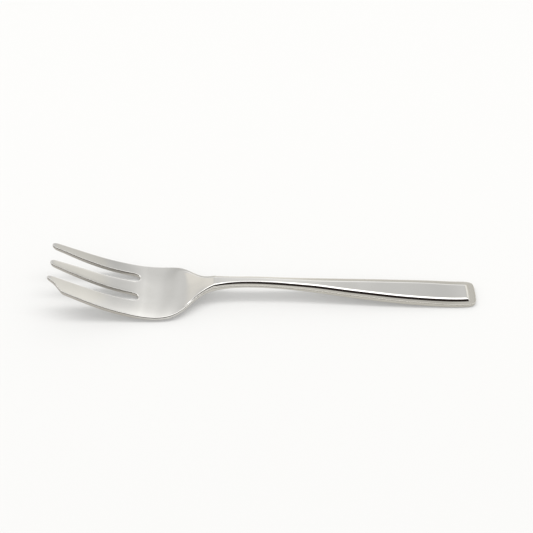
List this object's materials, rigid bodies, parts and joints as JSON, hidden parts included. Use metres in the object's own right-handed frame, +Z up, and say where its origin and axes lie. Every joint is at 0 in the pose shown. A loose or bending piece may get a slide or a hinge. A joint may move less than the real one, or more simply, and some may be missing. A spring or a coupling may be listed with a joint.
{
  "type": "pastry fork",
  "caption": "Polished steel pastry fork with a dished head, a wide notched cutting tine, slim pointed tines, an arched neck and a squared handle with a raised panel.",
  "frame": {"origin": "middle of the fork's footprint, on the table that it rests on", "axes": "+X from the tine tips to the end of the handle, +Y from the cutting tine to the outer tine, +Z up from the table"},
  "size_m": [0.15, 0.0254, 0.0166],
  "materials": {
    "steel": "mirror polished"
  },
  "bodies": {
    "root": {"cutting_tine": "steel", "middle_tine": "steel", "outer_tine": "steel", "bowl": "steel", "neck": "steel", "handle": "steel"}
  },
  "joints": []
}
